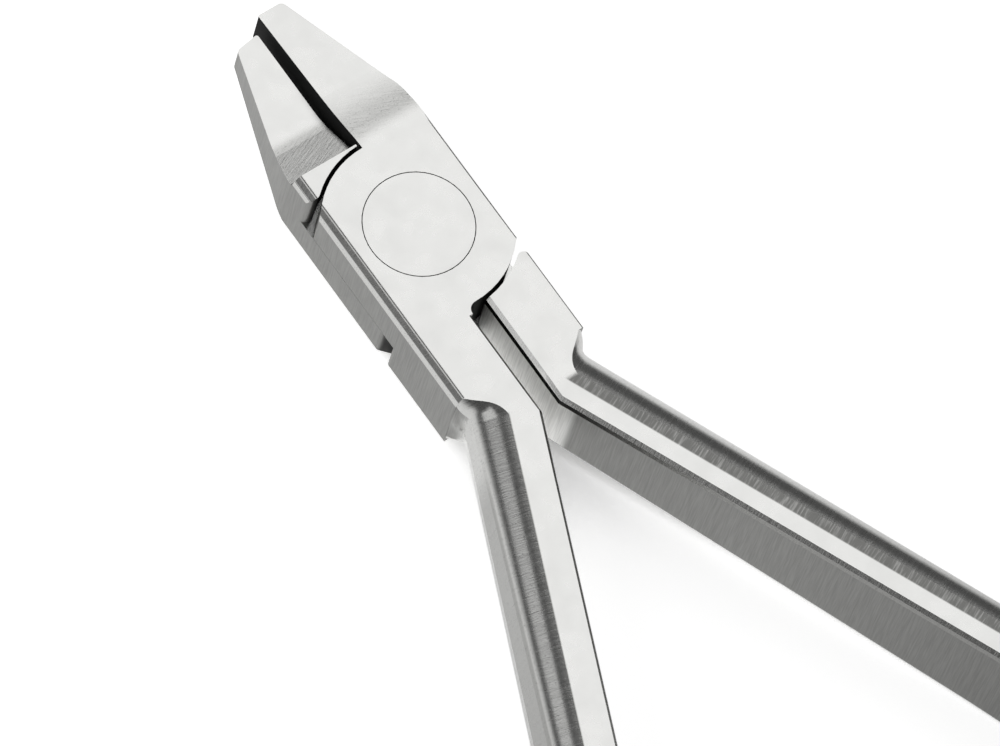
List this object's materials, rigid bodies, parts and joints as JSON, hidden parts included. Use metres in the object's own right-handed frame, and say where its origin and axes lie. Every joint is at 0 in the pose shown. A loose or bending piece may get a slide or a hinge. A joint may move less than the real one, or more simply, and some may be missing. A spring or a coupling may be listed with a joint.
{
  "type": "orthodontic pliers",
  "caption": "Lap-joint hand pliers: two tapered flat beaks, a large flush pivot screw and two bowed handles with flat inner walls and rounded backs.",
  "frame": {"origin": "on the pivot axis, at the rear face of the joint", "axes": "+Y along the tool to the beak tips, +Z along the pivot axis and out of the face with the screw head, +X to the side of the longer beak"},
  "size_m": [0.0693, 0.1357, 0.0124],
  "materials": {
    "satin_steel": "satin, ground along and across",
    "screw_steel": "satin, ground flush with the joint face"
  },
  "bodies": {
    "front_lever": {"front_half": "satin_steel"},
    "rear_lever": {"rear_half": "satin_steel", "pivot_screw": "screw_steel"}
  },
  "joints": [
    {"name": "jaw_pivot", "type": "hinge", "parent": "front_lever", "child": "rear_lever", "pos_m": [0, 0, 0.0046], "axis": [0, 0, 1], "range_deg": [-1.95, 35]}
  ]
}
